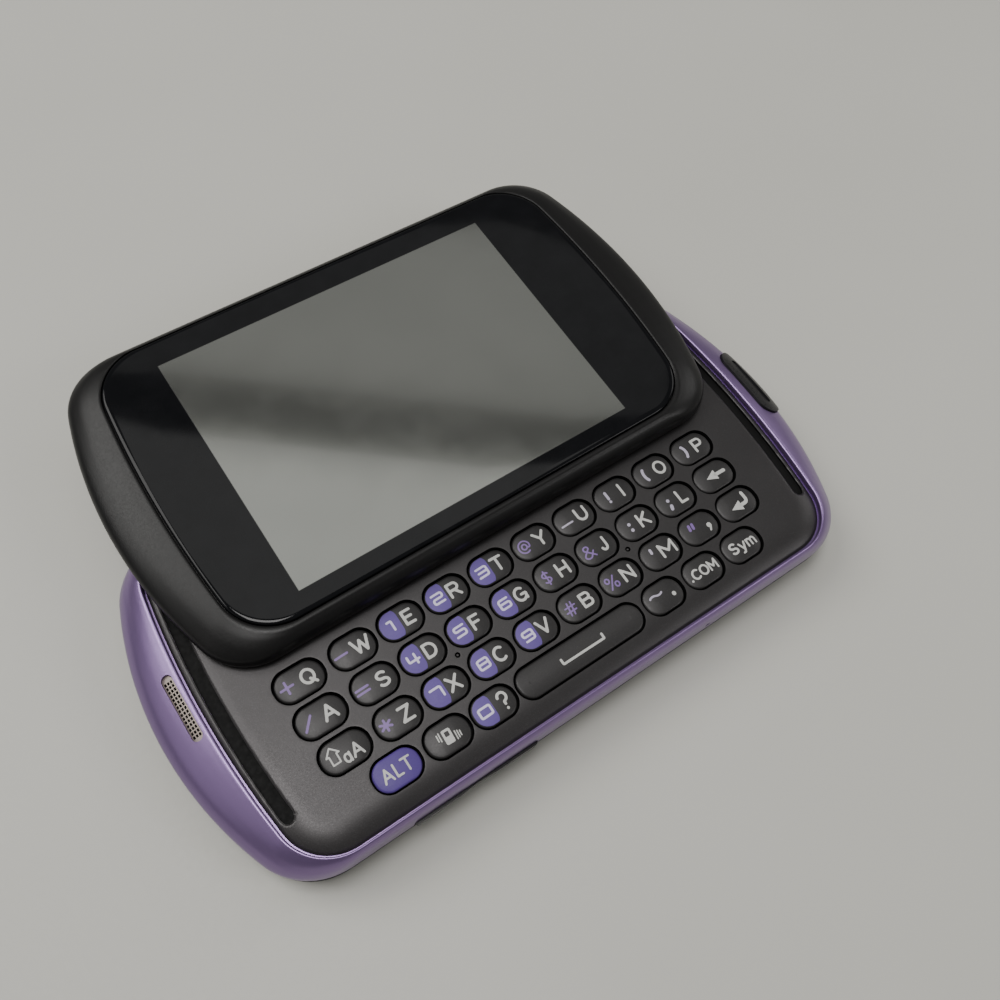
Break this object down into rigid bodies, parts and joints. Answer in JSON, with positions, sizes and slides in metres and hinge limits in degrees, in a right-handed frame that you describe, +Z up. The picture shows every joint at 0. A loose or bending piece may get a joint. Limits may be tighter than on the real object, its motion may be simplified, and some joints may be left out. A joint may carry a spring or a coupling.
{
  "type": "slider phone",
  "caption": "Side-sliding phone: a touch-window slider on rails over a bowed base with an obround-key letter keyboard, volume rocker, port cover and battery cover.",
  "frame": {"origin": "centre of the base's flat bottom face", "axes": "+X along the phone's length, to the right of a reader of the keyboard; +Y towards the side the slider opens to; +Z up, out of the screen"},
  "size_m": [0.1106, 0.0829, 0.015],
  "materials": {
    "shell_black": "fine matt texture",
    "rim_purple": "satin metallic lacquer",
    "grille_metal": "perforated, satin",
    "cover_black": "satin",
    "deck_charcoal": "soft-touch paint with fine sparkle",
    "dome_steel": "domed",
    "board_green": "solder mask",
    "bare_steel": "stamped",
    "battery_wrap": "printed film without words",
    "inner_black": "moulded",
    "clear_window": "polished",
    "slider_charcoal": "satin",
    "window_black": "polished",
    "display_grey": "polished",
    "plate_dark": "stamped, dark coating",
    "flex_amber": "film",
    "key_charcoal": "soft-touch paint",
    "key_purple": "soft-touch paint"
  },
  "bodies": {
    "base": {"rear_housing": "shell_black", "rim_frame": "rim_purple", "speaker_grille": "grille_metal", "keyboard_deck": "deck_charcoal", "dome_sheet": "dome_steel", "main_board": "board_green", "shield_can": "bare_steel", "battery": "battery_wrap", "loudspeaker": "inner_black", "camera_module": "inner_black", "camera_window": "clear_window", "usb_socket": "bare_steel", "housing_screws": "bare_steel", "slide_shoe": "bare_steel"},
    "battery_cover": {"battery_cover": "shell_black"},
    "port_cover": {"port_cover": "cover_black"},
    "volume_rocker": {"volume_rocker": "cover_black"},
    "slider": {"slider_housing": "slider_charcoal", "touch_window": "window_black", "display_panel": "display_grey", "slide_plate": "plate_dark", "earpiece": "inner_black", "flex_cable": "flex_amber"},
    "key_q": {"key_q": "key_charcoal"},
    "key_w": {"key_w": "key_charcoal"},
    "key_e": {"key_e": "key_charcoal"},
    "key_r": {"key_r": "key_charcoal"},
    "key_t": {"key_t": "key_charcoal"},
    "key_y": {"key_y": "key_charcoal"},
    "key_u": {"key_u": "key_charcoal"},
    "key_i": {"key_i": "key_charcoal"},
    "key_o": {"key_o": "key_charcoal"},
    "key_p": {"key_p": "key_charcoal"},
    "key_a": {"key_a": "key_charcoal"},
    "key_s": {"key_s": "key_charcoal"},
    "key_d": {"key_d": "key_charcoal"},
    "key_f": {"key_f": "key_charcoal"},
    "key_g": {"key_g": "key_charcoal"},
    "key_h": {"key_h": "key_charcoal"},
    "key_j": {"key_j": "key_charcoal"},
    "key_k": {"key_k": "key_charcoal"},
    "key_l": {"key_l": "key_charcoal"},
    "key_backspace": {"key_backspace": "key_charcoal"},
    "key_shift": {"key_shift": "key_charcoal"},
    "key_z": {"key_z": "key_charcoal"},
    "key_x": {"key_x": "key_charcoal"},
    "key_c": {"key_c": "key_charcoal"},
    "key_v": {"key_v": "key_charcoal"},
    "key_b": {"key_b": "key_charcoal"},
    "key_n": {"key_n": "key_charcoal"},
    "key_m": {"key_m": "key_charcoal"},
    "key_comma": {"key_comma": "key_charcoal"},
    "key_enter": {"key_enter": "key_charcoal"},
    "key_alt": {"key_alt": "key_purple"},
    "key_vibrate": {"key_vibrate": "key_charcoal"},
    "key_zero": {"key_zero": "key_charcoal"},
    "key_space": {"key_space": "key_charcoal"},
    "key_tilde": {"key_tilde": "key_charcoal"},
    "key_dotcom": {"key_dotcom": "key_charcoal"},
    "key_symbol": {"key_symbol": "key_charcoal"}
  },
  "joints": [
    {"name": "slider_slide", "type": "slide", "parent": "base", "child": "slider", "axis": [0, 1, 0], "range_m": [-0.0281, 0], "deforming": ["flex_cable"]},
    {"name": "port_cover_hinge", "type": "hinge", "parent": "base", "child": "port_cover", "pos_m": [0.05342, -0.00475, 0.00874], "axis": [0.7986, 0, -0.6018], "range_deg": [0, 90]},
    {"name": "volume_rock", "type": "hinge", "parent": "base", "child": "volume_rocker", "pos_m": [-0.0219, -0.0262, 0.0059], "axis": [0, 0, 1], "range_deg": [-1.5, 1.5], "stiffness_Nm_per_rad": 0.05},
    {"name": "battery_cover_lift", "type": "slide", "parent": "base", "child": "battery_cover", "axis": [0, 0, -1], "range_m": [0, 0.02]},
    {"name": "key_q_press", "type": "slide", "parent": "base", "child": "key_q", "axis": [0, 0, -1], "range_m": [0, 0.00035], "stiffness_N_per_m": 300},
    {"name": "key_w_press", "type": "slide", "parent": "base", "child": "key_w", "axis": [0, 0, -1], "range_m": [0, 0.00035], "stiffness_N_per_m": 300},
    {"name": "key_e_press", "type": "slide", "parent": "base", "child": "key_e", "axis": [0, 0, -1], "range_m": [0, 0.00035], "stiffness_N_per_m": 300},
    {"name": "key_r_press", "type": "slide", "parent": "base", "child": "key_r", "axis": [0, 0, -1], "range_m": [0, 0.00035], "stiffness_N_per_m": 300},
    {"name": "key_t_press", "type": "slide", "parent": "base", "child": "key_t", "axis": [0, 0, -1], "range_m": [0, 0.00035], "stiffness_N_per_m": 300},
    {"name": "key_y_press", "type": "slide", "parent": "base", "child": "key_y", "axis": [0, 0, -1], "range_m": [0, 0.00035], "stiffness_N_per_m": 300},
    {"name": "key_u_press", "type": "slide", "parent": "base", "child": "key_u", "axis": [0, 0, -1], "range_m": [0, 0.00035], "stiffness_N_per_m": 300},
    {"name": "key_i_press", "type": "slide", "parent": "base", "child": "key_i", "axis": [0, 0, -1], "range_m": [0, 0.00035], "stiffness_N_per_m": 300},
    {"name": "key_o_press", "type": "slide", "parent": "base", "child": "key_o", "axis": [0, 0, -1], "range_m": [0, 0.00035], "stiffness_N_per_m": 300},
    {"name": "key_p_press", "type": "slide", "parent": "base", "child": "key_p", "axis": [0, 0, -1], "range_m": [0, 0.00035], "stiffness_N_per_m": 300},
    {"name": "key_a_press", "type": "slide", "parent": "base", "child": "key_a", "axis": [0, 0, -1], "range_m": [0, 0.00035], "stiffness_N_per_m": 300},
    {"name": "key_s_press", "type": "slide", "parent": "base", "child": "key_s", "axis": [0, 0, -1], "range_m": [0, 0.00035], "stiffness_N_per_m": 300},
    {"name": "key_d_press", "type": "slide", "parent": "base", "child": "key_d", "axis": [0, 0, -1], "range_m": [0, 0.00035], "stiffness_N_per_m": 300},
    {"name": "key_f_press", "type": "slide", "parent": "base", "child": "key_f", "axis": [0, 0, -1], "range_m": [0, 0.00035], "stiffness_N_per_m": 300},
    {"name": "key_g_press", "type": "slide", "parent": "base", "child": "key_g", "axis": [0, 0, -1], "range_m": [0, 0.00035], "stiffness_N_per_m": 300},
    {"name": "key_h_press", "type": "slide", "parent": "base", "child": "key_h", "axis": [0, 0, -1], "range_m": [0, 0.00035], "stiffness_N_per_m": 300},
    {"name": "key_j_press", "type": "slide", "parent": "base", "child": "key_j", "axis": [0, 0, -1], "range_m": [0, 0.00035], "stiffness_N_per_m": 300},
    {"name": "key_k_press", "type": "slide", "parent": "base", "child": "key_k", "axis": [0, 0, -1], "range_m": [0, 0.00035], "stiffness_N_per_m": 300},
    {"name": "key_l_press", "type": "slide", "parent": "base", "child": "key_l", "axis": [0, 0, -1], "range_m": [0, 0.00035], "stiffness_N_per_m": 300},
    {"name": "key_backspace_press", "type": "slide", "parent": "base", "child": "key_backspace", "axis": [0, 0, -1], "range_m": [0, 0.00035], "stiffness_N_per_m": 300},
    {"name": "key_shift_press", "type": "slide", "parent": "base", "child": "key_shift", "axis": [0, 0, -1], "range_m": [0, 0.00035], "stiffness_N_per_m": 300},
    {"name": "key_z_press", "type": "slide", "parent": "base", "child": "key_z", "axis": [0, 0, -1], "range_m": [0, 0.00035], "stiffness_N_per_m": 300},
    {"name": "key_x_press", "type": "slide", "parent": "base", "child": "key_x", "axis": [0, 0, -1], "range_m": [0, 0.00035], "stiffness_N_per_m": 300},
    {"name": "key_c_press", "type": "slide", "parent": "base", "child": "key_c", "axis": [0, 0, -1], "range_m": [0, 0.00035], "stiffness_N_per_m": 300},
    {"name": "key_v_press", "type": "slide", "parent": "base", "child": "key_v", "axis": [0, 0, -1], "range_m": [0, 0.00035], "stiffness_N_per_m": 300},
    {"name": "key_b_press", "type": "slide", "parent": "base", "child": "key_b", "axis": [0, 0, -1], "range_m": [0, 0.00035], "stiffness_N_per_m": 300},
    {"name": "key_n_press", "type": "slide", "parent": "base", "child": "key_n", "axis": [0, 0, -1], "range_m": [0, 0.00035], "stiffness_N_per_m": 300},
    {"name": "key_m_press", "type": "slide", "parent": "base", "child": "key_m", "axis": [0, 0, -1], "range_m": [0, 0.00035], "stiffness_N_per_m": 300},
    {"name": "key_comma_press", "type": "slide", "parent": "base", "child": "key_comma", "axis": [0, 0, -1], "range_m": [0, 0.00035], "stiffness_N_per_m": 300},
    {"name": "key_enter_press", "type": "slide", "parent": "base", "child": "key_enter", "axis": [0, 0, -1], "range_m": [0, 0.00035], "stiffness_N_per_m": 300},
    {"name": "key_alt_press", "type": "slide", "parent": "base", "child": "key_alt", "axis": [0, 0, -1], "range_m": [0, 0.00035], "stiffness_N_per_m": 300},
    {"name": "key_vibrate_press", "type": "slide", "parent": "base", "child": "key_vibrate", "axis": [0, 0, -1], "range_m": [0, 0.00035], "stiffness_N_per_m": 300},
    {"name": "key_zero_press", "type": "slide", "parent": "base", "child": "key_zero", "axis": [0, 0, -1], "range_m": [0, 0.00035], "stiffness_N_per_m": 300},
    {"name": "key_space_press", "type": "slide", "parent": "base", "child": "key_space", "axis": [0, 0, -1], "range_m": [0, 0.00035], "stiffness_N_per_m": 400},
    {"name": "key_tilde_press", "type": "slide", "parent": "base", "child": "key_tilde", "axis": [0, 0, -1], "range_m": [0, 0.00035], "stiffness_N_per_m": 300},
    {"name": "key_dotcom_press", "type": "slide", "parent": "base", "child": "key_dotcom", "axis": [0, 0, -1], "range_m": [0, 0.00035], "stiffness_N_per_m": 300},
    {"name": "key_symbol_press", "type": "slide", "parent": "base", "child": "key_symbol", "axis": [0, 0, -1], "range_m": [0, 0.00035], "stiffness_N_per_m": 300}
  ]
}
